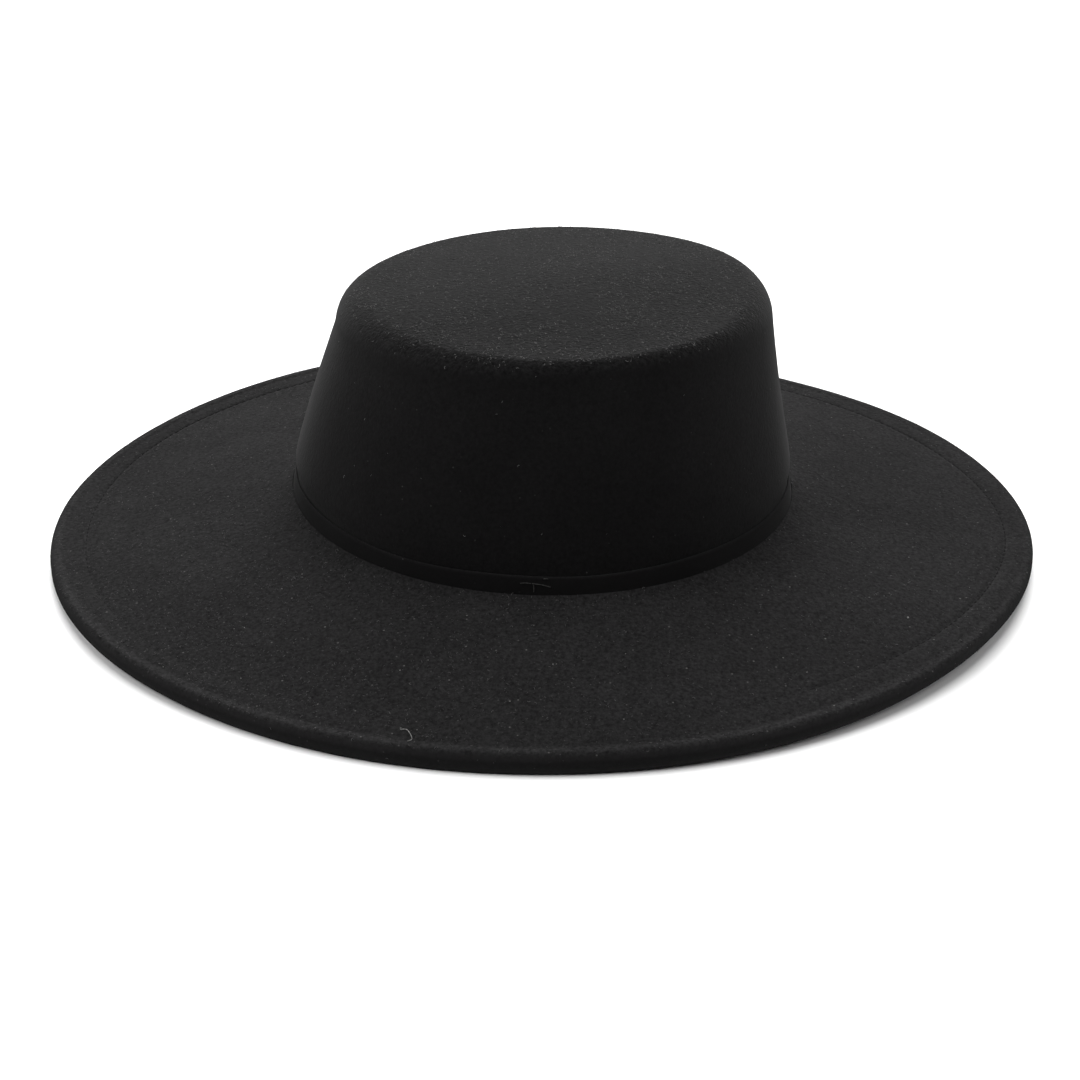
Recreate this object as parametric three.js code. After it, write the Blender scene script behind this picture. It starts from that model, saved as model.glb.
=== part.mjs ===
// Wide brim felt hat with a low flat-topped crown, standing on the edge of its brim.
// Millimetres, +Z up. The side that is seen in front faces -Y, and the crown's long way runs along Y.
// The origin is on the surface that the hat stands on, below the middle of the brim.

import * as THREE from "three";

// Felt, and the clearance between pieces that are sewn together
const FELT = 2.0;
const GAP = 0.3;

// Head opening, inside the crown foot: a 57 cm head
const HEAD_LENGTH = 197.5;
const HEAD_WIDTH = 166.5;

// Crown: its tip is the flat top, a smaller oval that leans a little to one side
const CROWN_HEIGHT = 74;
const TIP_LENGTH = 164.5;
const TIP_WIDTH = 149.5;
const TIP_SHIFT = 3.1;
const TIP_ROLL_DEG = 1.6;
const TIP_PITCH_DEG = -3.0;
const TIP_CORNER = 11.8;
const TIP_DOME = 1.5;

// How the wall curves in towards the tip: 1 is straight, more stays upright at the foot for longer
const WALL_CURVE = 1.2;
const WALL_CURVE_LEAN = 0.15;

// Narrow felt strip round the crown foot, which pinches the crown wall in
const BAND_HEIGHT = 6.8;
const BAND_THICKNESS = 1.2;
const BAND_PINCH = 1.1;
const PINCH_FADE = 3;

// Brim: its height and slant at the crown foot, its width from the crown to the edge, and how it sags
const FOOT_HEIGHT = 22.6;
const FOOT_ROLL_DEG = -0.7;
const FOOT_PITCH_DEG = -1.2;
const BRIM_WIDTH = 81;
const BRIM_SAG = 0.25;

// Turned-under hem: the folded edge, the stitched groove that holds it, and the edge's lift off the table
const HEM_WIDTH = 13;
const EDGE_HEIGHT = 6.6;
const GROOVE_WIDTH = 2.4;
const GROOVE_DEPTH = 0.6;
const EDGE_LIFT = 4.4;
const REST_FLAT = 0.4;

// The brim's edge at even steps round the hat, from +X towards +Y, which is the back.
// reach is a share of BRIM_WIDTH, lift a share of EDGE_LIFT and hem a share of HEM_WIDTH.
const EDGE = [
  { angle: 0, reach: 1.08, lift: 0.34, hem: 0.77 },
  { angle: 30, reach: 1.045, lift: 0.13, hem: 1.0 },
  { angle: 60, reach: 0.963, lift: 0, hem: 0.96 },
  { angle: 90, reach: 0.928, lift: 0.34, hem: 0.96 },
  { angle: 120, reach: 0.966, lift: 0.58, hem: 1.08 },
  { angle: 150, reach: 1.04, lift: 0.14, hem: 0.88 },
  { angle: 180, reach: 1.08, lift: 0.05, hem: 1.0 },
  { angle: 210, reach: 1.05, lift: 0.38, hem: 0.88 },
  { angle: 240, reach: 0.97, lift: 0.05, hem: 0.96 },
  { angle: 270, reach: 0.928, lift: 0, hem: 1.08 },
  { angle: 300, reach: 0.966, lift: 0.39, hem: 1.15 },
  { angle: 330, reach: 1.03, lift: 0.98, hem: 0.88 },
];

// Fineness of the faceted surfaces
const SEGMENTS = 72;
const CORNER_STEPS = 5;
const WALL_STEPS = 5;
const FOLD_STEPS = 9;
const TIP_RINGS = [0.3, 0.6, 0.85];
const BRIM_ROWS = [0.06, 0.2, 0.4, 0.6, 0.8, 0.94];

const FULL_TURN = 2 * Math.PI;
const edgeRadius = EDGE_HEIGHT / 2;
const tipHeight = FOOT_HEIGHT + CROWN_HEIGHT;
const wallHeight = CROWN_HEIGHT - TIP_CORNER;
const bandReach = GAP + BAND_THICKNESS;

const felt = { roughness: 0.95, metalness: 0 };
const crownFelt = new THREE.MeshStandardMaterial({ color: 0x1d1d1e, ...felt });
const brimFelt = new THREE.MeshStandardMaterial({ color: 0x212122, ...felt });
const bandFelt = new THREE.MeshStandardMaterial({ color: 0x161617, ...felt });

// A point on an oval, moved out along the oval's own normal
function ovalPoint(width, length, offset, angle) {
  const across = Math.cos(angle);
  const along = Math.sin(angle);
  const normal = new THREE.Vector2((2 * across) / width, (2 * along) / length).normalize();
  return new THREE.Vector2((width / 2) * across, (length / 2) * along).addScaledVector(normal, offset);
}

// A smooth closed curve through one column of the EDGE table
function edgeColumn(name) {
  const rows = EDGE.map((row) => new THREE.Vector3(row[name], 0, 0));
  const curve = new THREE.CatmullRomCurve3(rows, true, "catmullrom", 0.5);
  return (angle) => curve.getPoint(angle / FULL_TURN).x;
}

// Turns a section through every angle. A ring's section closes on itself, and a cap's runs from pole to pole.
function turnSection(sectionAt, isRing) {
  const sections = [];
  for (let i = 0; i < SEGMENTS; i += 1) {
    sections.push(sectionAt((i / SEGMENTS) * FULL_TURN));
  }
  const rows = sections[0].length;
  const points = sections.flat();
  const faces = [];
  const index = (turn, row) => {
    const isPole = !isRing && (row === 0 || row === rows - 1);
    return (isPole ? 0 : turn % SEGMENTS) * rows + (row % rows);
  };
  const steps = isRing ? rows : rows - 1;
  for (let i = 0; i < SEGMENTS; i += 1) {
    for (let j = 0; j < steps; j += 1) {
      const [a, b] = [index(i, j), index(i, j + 1)];
      const [c, d] = [index(i + 1, j + 1), index(i + 1, j)];
      if (b !== c) faces.push(a, b, c);
      if (a !== d) faces.push(a, c, d);
    }
  }
  const geometry = new THREE.BufferGeometry().setFromPoints(points);
  geometry.setIndex(faces);
  const closed = geometry.toNonIndexed();
  closed.computeVertexNormals();
  return closed;
}

// The height of a slanted plane over a spot
function slantedHeight(height, rollDeg, pitchDeg, spot) {
  const roll = Math.tan(THREE.MathUtils.degToRad(rollDeg));
  const pitch = Math.tan(THREE.MathUtils.degToRad(pitchDeg));
  return height + roll * spot.x + pitch * spot.y;
}

function tipPlane(spot) {
  return slantedHeight(tipHeight, TIP_ROLL_DEG, TIP_PITCH_DEG, spot);
}

// A point beside the outside of the crown foot, and the height of the brim there
function footPoint(angle, offset) {
  return ovalPoint(HEAD_WIDTH + 2 * FELT, HEAD_LENGTH + 2 * FELT, offset, angle);
}

function brimHeight(angle) {
  return slantedHeight(FOOT_HEIGHT, FOOT_ROLL_DEG, FOOT_PITCH_DEG, footPoint(angle, 0));
}

// The crown wall: rise goes from 0 at the foot to 1 where the rounded corner starts
function wallPoint(angle, rise, offset) {
  const release = THREE.MathUtils.smoothstep(rise * wallHeight, BAND_HEIGHT, BAND_HEIGHT + PINCH_FADE);
  const push = offset - BAND_PINCH * (1 - release);
  const foot = footPoint(angle, push + BAND_PINCH);
  const tip = ovalPoint(TIP_WIDTH, TIP_LENGTH, push, angle);
  tip.x += TIP_SHIFT;
  const top = tipPlane(tip) - TIP_CORNER;
  const curve = WALL_CURVE - WALL_CURVE_LEAN * Math.cos(angle);
  const spot = foot.lerp(tip, rise ** curve);
  return new THREE.Vector3(spot.x, spot.y, THREE.MathUtils.lerp(brimHeight(angle) + GAP, top, rise));
}

// The heights of the wall's rows, as rises: the foot, the top of the strip, and even steps above it
function wallRises() {
  const bandTop = BAND_HEIGHT / wallHeight;
  const freed = (BAND_HEIGHT + PINCH_FADE) / wallHeight;
  const rises = [0, bandTop, (bandTop + freed) / 2];
  for (let i = 0; i <= WALL_STEPS; i += 1) {
    rises.push(THREE.MathUtils.lerp(freed, 1, i / WALL_STEPS));
  }
  return rises;
}

// One face of the crown from the middle of the tip down to the foot, outside or a felt's thickness inside
function crownFace(angle, inset) {
  const radius = TIP_CORNER - inset;
  const cornerPoint = (turn) => {
    const offset = -inset - radius * (1 - Math.cos(turn));
    const spot = ovalPoint(TIP_WIDTH, TIP_LENGTH, offset, angle);
    spot.x += TIP_SHIFT;
    const height = tipPlane(spot) - TIP_CORNER + radius * Math.sin(turn);
    return new THREE.Vector3(spot.x, spot.y, height);
  };
  const middle = new THREE.Vector3(TIP_SHIFT, 0, tipPlane({ x: TIP_SHIFT, y: 0 }) - inset + TIP_DOME);
  const rim = cornerPoint(Math.PI / 2);
  const face = [middle];
  for (const share of TIP_RINGS) {
    const spot = middle.clone().lerp(rim, share);
    spot.z += TIP_DOME * (share - share * share);
    face.push(spot);
  }
  for (let i = CORNER_STEPS; i > 0; i -= 1) {
    face.push(cornerPoint((i / CORNER_STEPS) * (Math.PI / 2)));
  }
  for (const rise of wallRises().reverse()) {
    face.push(wallPoint(angle, rise, -inset));
  }
  return face;
}

function makeCrown() {
  const section = (angle) => [...crownFace(angle, 0), ...crownFace(angle, FELT).reverse()];
  return new THREE.Mesh(turnSection(section, false), crownFelt);
}

// The strip follows the crown wall and stands on the brim
function makeBand() {
  const edge = BAND_THICKNESS / 3;
  const section = (angle) => {
    const at = (height, depth) => wallPoint(angle, height / wallHeight, GAP + depth);
    return [
      at(BAND_HEIGHT, 0),
      at(BAND_HEIGHT, BAND_THICKNESS - edge),
      at(BAND_HEIGHT - edge, BAND_THICKNESS),
      at(BAND_HEIGHT / 2, BAND_THICKNESS),
      at(0, BAND_THICKNESS),
      at(0, 0),
      at(BAND_HEIGHT / 2, 0),
    ];
  };
  return new THREE.Mesh(turnSection(section, true), bandFelt);
}

const reachShare = edgeColumn("reach");
const liftShare = edgeColumn("lift");
const hemShare = edgeColumn("hem");

// The brim's section at one angle: over the top from the head opening, round the fold and back underneath
function brimSection(angle) {
  const reach = reachShare(angle) * BRIM_WIDTH;
  const base = liftShare(angle) * EDGE_LIFT - REST_FLAT;
  const foldOut = reach - edgeRadius;
  const grooveOut = reach - hemShare(angle) * HEM_WIDTH;
  const start = brimHeight(angle);
  const drop = start - base - EDGE_HEIGHT;
  const topAt = (out) => {
    const way = Math.max(0, (out - bandReach) / (foldOut - bandReach));
    return start - drop * (way + BRIM_SAG * way * (1 - way));
  };
  const slopeEnd = grooveOut - GROOVE_WIDTH / 2;
  const slope = BRIM_ROWS.map((share) => THREE.MathUtils.lerp(bandReach, slopeEnd, share));
  const top = [-FELT, bandReach, ...slope, slopeEnd].map((out) => [out, topAt(out)]);
  top.push([grooveOut, topAt(grooveOut) - GROOVE_DEPTH]);
  top.push([grooveOut + GROOVE_WIDTH / 2, topAt(grooveOut + GROOVE_WIDTH / 2)]);
  top.push([(grooveOut + foldOut) / 2, topAt((grooveOut + foldOut) / 2)]);
  const fold = [];
  for (let i = 0; i <= FOLD_STEPS; i += 1) {
    const turn = THREE.MathUtils.degToRad(90 - (i / FOLD_STEPS) * 225);
    fold.push([foldOut + edgeRadius * Math.cos(turn), base + edgeRadius * (1 + Math.sin(turn))]);
  }
  const hemEnd = grooveOut - GROOVE_WIDTH;
  const hem = [(grooveOut + foldOut) / 2, hemEnd].map((out) => [out, topAt(out) - 2 * FELT]);
  const under = [hemEnd - FELT, ...slope.slice(0, -1).reverse(), bandReach, -FELT];
  const below = under.map((out) => [out, topAt(out) - FELT]);
  return [...top, ...fold, ...hem, ...below].map(([out, height]) => {
    const spot = footPoint(angle, out);
    return new THREE.Vector3(spot.x, spot.y, Math.max(0, height));
  });
}

function makeBrim() {
  return new THREE.Mesh(turnSection(brimSection, true), brimFelt);
}

const group = new THREE.Group();
const pieces = { crown: makeCrown(), crown_band: makeBand(), brim: makeBrim() };
for (const [name, mesh] of Object.entries(pieces)) {
  mesh.name = name;
  group.add(mesh);
}

export default group;
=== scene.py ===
"""A wide brim felt hat with a low flat crown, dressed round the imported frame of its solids."""
import math
import random

import bmesh
import bpy
from bpy.props import FloatProperty, FloatVectorProperty, IntProperty, PointerProperty
from mathutils import Matrix, Vector, noise
from mathutils.bvhtree import BVHTree


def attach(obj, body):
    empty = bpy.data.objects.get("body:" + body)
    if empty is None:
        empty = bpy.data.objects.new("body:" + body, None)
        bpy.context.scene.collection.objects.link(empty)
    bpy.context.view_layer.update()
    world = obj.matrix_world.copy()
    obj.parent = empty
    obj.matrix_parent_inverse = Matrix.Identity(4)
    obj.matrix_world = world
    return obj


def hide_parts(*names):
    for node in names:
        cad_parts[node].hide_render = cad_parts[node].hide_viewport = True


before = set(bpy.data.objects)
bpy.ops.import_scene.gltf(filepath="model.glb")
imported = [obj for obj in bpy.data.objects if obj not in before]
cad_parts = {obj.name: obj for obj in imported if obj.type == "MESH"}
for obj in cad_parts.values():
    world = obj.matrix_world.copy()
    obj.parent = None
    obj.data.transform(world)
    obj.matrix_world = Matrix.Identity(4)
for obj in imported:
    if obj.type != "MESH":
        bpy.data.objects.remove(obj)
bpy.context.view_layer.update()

bl_info = {
    "name": "Wide brim felt hat",
    "version": (1, 0, 0),
    "blender": (4, 5, 0),
    "location": "3D View > Sidebar > Felt hat",
    "description": "Models a flat-crowned felt hat with its strip, stitched brim and fibres, and a plain stage",
    "category": "Add Mesh",
}

MM = 0.001
TURNS = 72
TURN_STEP = 2 * math.pi / TURNS

# The brim's edge at even steps round the hat, from the right side towards the back.
# reach, lift, hem, tall and groove are shares of the brim's width, lift, hem width, edge height and groove depth,
# ridge is a share of the lip's height and of the painted highlight and painted shade on the fold, and sag is a share
# of the brim's sag.
EDGE = (
    {"angle": 0, "reach": 1.08, "lift": 0.34, "hem": 0.77, "tall": 1.0, "groove": 0.8, "ridge": 0.2, "sag": 1.0},
    {"angle": 30, "reach": 1.045, "lift": 0.13, "hem": 1.0, "tall": 1.0, "groove": 0.7, "ridge": 0.5, "sag": 1.8},
    {"angle": 60, "reach": 0.963, "lift": 0.0, "hem": 0.96, "tall": 1.0, "groove": 0.5, "ridge": 1.0, "sag": 2.2},
    {"angle": 90, "reach": 0.928, "lift": 0.34, "hem": 0.96, "tall": 1.0, "groove": 0.5, "ridge": 1.0, "sag": 2.2},
    {"angle": 120, "reach": 0.966, "lift": 0.58, "hem": 1.08, "tall": 1.0, "groove": 0.8, "ridge": 1.0, "sag": 2.2},
    {"angle": 150, "reach": 1.04, "lift": 0.14, "hem": 0.88, "tall": 1.0, "groove": 0.9, "ridge": 1.0, "sag": 1.8},
    {"angle": 180, "reach": 1.08, "lift": 0.05, "hem": 1.0, "tall": 1.0, "groove": 0.7, "ridge": 0.8, "sag": 1.0},
    {"angle": 210, "reach": 1.05, "lift": 0.38, "hem": 0.88, "tall": 0.95, "groove": 0.3, "ridge": 0.8, "sag": 0.5},
    {"angle": 240, "reach": 0.97, "lift": 0.05, "hem": 0.96, "tall": 1.1, "groove": 0.15, "ridge": 1.0, "sag": 0.0},
    {"angle": 270, "reach": 0.928, "lift": 0.0, "hem": 1.08, "tall": 1.22, "groove": 0.12, "ridge": 1.1, "sag": 0.0},
    {"angle": 300, "reach": 0.966, "lift": 0.39, "hem": 1.15, "tall": 1.04, "groove": 0.3, "ridge": 0.9, "sag": 0.0},
    {"angle": 330, "reach": 1.03, "lift": 0.98, "hem": 0.88, "tall": 0.85, "groove": 0.8, "ridge": 0.1, "sag": 0.4},
)


def length(name, description, default):
    """A length property in metres, given here in millimetres."""
    return FloatProperty(name=name, description=description, default=default * MM, unit="LENGTH", precision=5)


def tilt(name, description, default):
    """An angle property, given here in degrees."""
    return FloatProperty(name=name, description=description, default=math.radians(default), unit="ROTATION")


def share(name, description, default):
    return FloatProperty(name=name, description=description, default=default, min=0.0, precision=4)


def tone(default):
    return share("Tone", "Share of the light that the felt's body gives back", default)


def contrast(default):
    return share("Contrast", "How much the lighter and darker tufts differ from the tone", default)


def relief(default):
    return length("Relief", "Height of the felt's fine lumps", default)


def sheen(default):
    return share("Sheen", "Strength of the nap's sheen", default)


def sheen_roughness(default):
    return share("Sheen roughness", "Spread of the nap's sheen", default)


def specks(default):
    return share("Specks", "Share of the speck places that show a pale speck", default)


def colour(name, description, default):
    return FloatVectorProperty(name=name, description=description, subtype="COLOR", size=3, min=0.0, max=1.0,
                               default=default)


class CrownSettings(bpy.types.PropertyGroup):
    felt: length("Felt", "Thickness of the felt", 2.0)
    head_length: length("Head length", "Inside length of the head opening", 197.5)
    head_width: length("Head width", "Inside width of the head opening", 166.5)
    height: length("Height", "Height of the crown over the brim", 74.0)
    tip_length: length("Tip length", "Length of the flat top, at the outside of its rounded edge", 164.5)
    tip_width: length("Tip width", "Width of the flat top, at the outside of its rounded edge", 150.5)
    tip_shift: length("Tip shift", "How far the top leans to the right", 3.6)
    tip_roll: tilt("Tip roll", "Slant of the top from left to right", 1.6)
    tip_pitch: tilt("Tip pitch", "Slant of the top from front to back", -3.0)
    corner: length("Corner", "Radius of the rounded edge of the top", 11.8)
    crease: length("Crease", "How much smaller that radius is where the edge was pressed sharpest", 6.0)
    crease_sink: length("Crease sink", "How far the top sinks towards its sharpest edge", 3.3)
    crease_side: tilt("Crease side", "Where the edge is sharpest, as a turn from the right side", 290)
    dome: length("Dome", "Rise of the top's middle over its edge", 2.6)
    wall_curve: share("Wall curve", "1 is a straight wall, more stays upright at the foot for longer", 1.2)
    wall_lean: share("Wall curve lean", "How much less the right side curves, and the left side more", 0.15)
    side_flare: length("Side flare", "How far the crown's foot spreads to the left and the right", 3.3)
    flare_curve: share("Side flare curve", "1 is a straight spread, more keeps it close to the foot", 1.6)
    uneven: length("Unevenness", "Depth of the slow dents of pressed felt", 0.5)
    uneven_size: length("Unevenness size", "Distance from one slow dent to the next", 45.0)
    dent: length("Dent", "Depth of the small dents", 0.12)
    dent_size: length("Dent size", "Size of the small dents", 7.0)
    tone: tone(0.0062)
    contrast: contrast(0.9)
    relief: relief(0.55)
    sheen: sheen(0.051)
    sheen_roughness: sheen_roughness(0.5)
    specks: specks(0.15)


class StripSettings(bpy.types.PropertyGroup):
    height: length("Height", "Height of the strip", 6.8)
    thickness: length("Thickness", "Thickness of the strip's felt", 0.7)
    flare: length("Flare", "How far the strip's foot spreads over the brim", 0.15)
    pinch: length("Pinch", "How far the strip pulls the crown in", 0.4)
    side_hold: share("Side hold", "Share of the crown's side flare that the strip leaves it", 0.45)
    fade: length("Fade", "Height over which the crown springs back above the strip", 5.0)
    gap: length("Gap", "Clearance from the crown and the brim", 0.1)
    uneven: length("Unevenness", "How far the strip's cut edge wanders", 0.5)
    uneven_size: length("Unevenness size", "Distance from one bend of the cut edge to the next", 30.0)
    dent: length("Dent", "Depth of the small dents", 0.06)
    dent_size: length("Dent size", "Size of the small dents", 4.0)
    tone: tone(0.0068)
    contrast: contrast(0.25)
    relief: relief(0.2)
    sheen: sheen(0.03)
    sheen_roughness: sheen_roughness(0.5)
    specks: specks(0.1)


class BrimSettings(bpy.types.PropertyGroup):
    foot_height: length("Foot height", "Height of the brim at the crown's foot", 22.6)
    foot_roll: tilt("Foot roll", "Slant of the crown's foot from left to right", -0.7)
    foot_pitch: tilt("Foot pitch", "Slant of the crown's foot from front to back", -1.2)
    width: length("Width", "Width of the brim from the crown to its edge", 81.0)
    sag: share("Sag", "How far the brim hangs below a straight slope, as a share of its drop", 0.25)
    hem: length("Hem", "Distance of the stitched groove from the edge", 13.0)
    groove_width: length("Groove width", "Width of the stitched groove", 2.6)
    groove_depth: length("Groove depth", "Depth of the stitched groove", 0.45)
    edge_height: length("Edge height", "Height of the folded edge", 6.6)
    edge_depth: length("Edge depth", "How far in the folded edge starts to turn down", 3.3)
    edge_square: share("Edge squareness", "2 is a round fold, more has a flatter face and sharper corners", 3.4)
    lift: length("Lift", "How far the edge's waves rise off the table", 4.4)
    rest_flat: length("Rest", "How far the felt is pressed flat where it rests", 0.4)
    puff: length("Puff", "How far the doubled felt of the hem swells", 0.3)
    seam_rise: length("Seam rise", "How far the felt curves up where it meets the strip", 1.5)
    seam_reach: length("Seam reach", "Width over which it curves up", 5.0)
    lip: length("Lip", "How far the fold stands over the hem", 0.75)
    lip_width: length("Lip width", "Width over which the felt rises to the fold", 2.0)
    uneven: length("Unevenness", "Depth of the slow dents of the flat felt", 1.0)
    uneven_size: length("Unevenness size", "Distance from one slow dent to the next", 50.0)
    dent: length("Dent", "Depth of the small dents", 0.12)
    dent_size: length("Dent size", "Size of the small dents", 6.0)
    tone: tone(0.0118)
    contrast: contrast(0.62)
    relief: relief(0.2)
    sheen: sheen(0.012)
    sheen_roughness: sheen_roughness(0.8)
    specks: specks(0.3)


class FeltSettings(bpy.types.PropertyGroup):
    tint: colour("Tint", "Colour of the dyed wool, before the tone of each piece", (1.0, 0.985, 1.0))
    speck_colour: colour("Speck colour", "Colour of the palest specks", (0.12, 0.118, 0.115))
    grain: length("Grain", "Size of the coarsest lumps of the felt", 1.4)
    tuft: length("Tuft", "Size of the lighter and darker tufts", 1.3)
    mottle: share("Mottle", "How much the felt's tone changes over a few centimetres", 0.1)
    mottle_size: length("Mottle size", "Size of the mottling's patches", 26.0)
    wall_nap: share("Wall nap", "How rough the upright felt is, next to 1 on the level felt", 0.28)
    # Strength of the painted highlight on the edge's ridge and the strip's cut edges, and of the painted shade on the
    # edge's face.
    wear: share("Wear", "How much lighter the edge's worn ridge is, and how much darker its face", 0.4)
    speck: length("Speck spacing", "Distance between the places of the pale specks", 2.4)
    speck_size: share("Speck size", "Size of the largest speck, as a share of the spacing", 0.16)


class NapSettings(bpy.types.PropertyGroup):
    curls_on_brim: IntProperty(name="Curls on the brim", description="Number of loose wool curls", default=9000)
    curls_on_crown: IntProperty(name="Curls on the crown", description="Number of loose wool curls", default=7000)
    thickness: length("Thickness", "Thickness of a wool fibre", 0.1)
    radius: length("Radius", "Radius of a curl", 0.34)
    arc: tilt("Arc", "How far a curl goes round", 150)
    smallest: share("Smallest", "Size of the smallest curl, next to 1 for the plain one", 0.45)
    largest: share("Largest", "Size of the largest curl", 1.5)
    lean: share("Lean", "How far the curls stand out of line with the felt", 0.25)
    patch: length("Patch", "Size of the patches with more and with fewer curls", 24.0)
    brim_colour: colour("Brim colour", "Colour of the loose curls on the brim", (0.066, 0.065, 0.065))
    # The crown's curls are drawn lighter than the brim's, a painted sheen for the light glancing off the top.
    crown_colour_with_painted_sheen: colour("Crown colour", "Colour of the loose curls on the crown", (0.11, 0.109, 0.108))
    seed: IntProperty(name="Seed", description="Picks where the curls lie", default=7)


class StitchSettings(bpy.types.PropertyGroup):
    pitch: length("Pitch", "Distance from one stitch to the next", 3.4)
    length: length("Length", "Length of a stitch", 2.3)
    thickness: length("Thickness", "Thickness of the thread", 0.4)
    sink: share("Sink", "Share of the thread's thickness that is pulled in where the groove is closed", 0.95)
    rise: share("Rise", "How much less it is pulled in where the groove is deepest", 0.5)
    colour: colour("Colour", "Colour of the thread", (0.01, 0.01, 0.01))


class LintSettings(bpy.types.PropertyGroup):
    thread: length("Thread", "Thickness of the tack thread", 0.3)
    curl: length("Curl", "Thickness of the curled bit of lint", 0.26)
    thread_colour: colour("Thread colour", "Colour of the tack thread", (0.035, 0.035, 0.034))
    lint_colour: colour("Lint colour", "Colour of the pale lint", (0.2, 0.2, 0.195))


class StageSettings(bpy.types.PropertyGroup):
    lens: FloatProperty(name="Lens", description="Focal length of the camera", default=103.2, unit="CAMERA")
    distance: length("Distance", "Distance of the camera from the hat's middle", 1100.0)
    elevation: tilt("Elevation", "Height of the camera over the table, as an angle", 24.14)
    roll: tilt("Roll", "Turn of the camera about its own view", 0.284)
    aim: FloatVectorProperty(name="Aim", description="Point that the camera looks at", subtype="XYZ", unit="LENGTH",
                             size=3, precision=5, default=(-0.77 * MM, 0.0, -0.06 * MM))
    floor: length("Floor", "Side of the floor", 8000.0)
    paper: share("Paper", "Share of the light that the floor gives back", 0.93)
    softness: tilt("Softness", "Width of every light, seen from the hat", 45)
    high_light: share("High light", "Strength of the soft light high over the back", 2.64)
    low_light: share("Low light", "Strength of the soft light low behind the hat", 8.9)
    left_light: share("Left light", "Strength of the soft light at the left", 1.75)
    right_light: share("Right light", "Strength of the soft light at the right", 1.0)
    fill_light: share("Fill light", "Strength of the light from all round", 0.02)


def drop_selection():
    if bpy.context.mode != "OBJECT":
        bpy.ops.object.mode_set(mode="OBJECT")
    bpy.ops.object.select_all(action="DESELECT")


def edge_share(column, angle):
    """A smooth closed curve through one column of the EDGE table."""
    place = angle / (2 * math.pi) * len(EDGE)
    start = math.floor(place)
    way = place - start
    before, first, second, after = (EDGE[(start + step) % len(EDGE)][column] for step in (-1, 0, 1, 2))
    first_slope, second_slope = (second - before) / 2, (after - first) / 2
    return (first + first_slope * way
            + (3 * (second - first) - 2 * first_slope - second_slope) * way ** 2
            + (2 * (first - second) + first_slope + second_slope) * way ** 3)


def smooth_step(value, low, high):
    way = min(1.0, max(0.0, (value - low) / (high - low)))
    return way * way * (3 - 2 * way)


def oval_point(width, long_way, offset, angle):
    """A point on an oval, moved out along the oval's own normal."""
    across, along = math.cos(angle), math.sin(angle)
    normal = Vector((2 * across / width, 2 * along / long_way)).normalized()
    return Vector((width / 2 * across, long_way / 2 * along)) + normal * offset


def slanted_height(height, roll, pitch, spot):
    return height + math.tan(roll) * spot.x + math.tan(pitch) * spot.y


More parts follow.
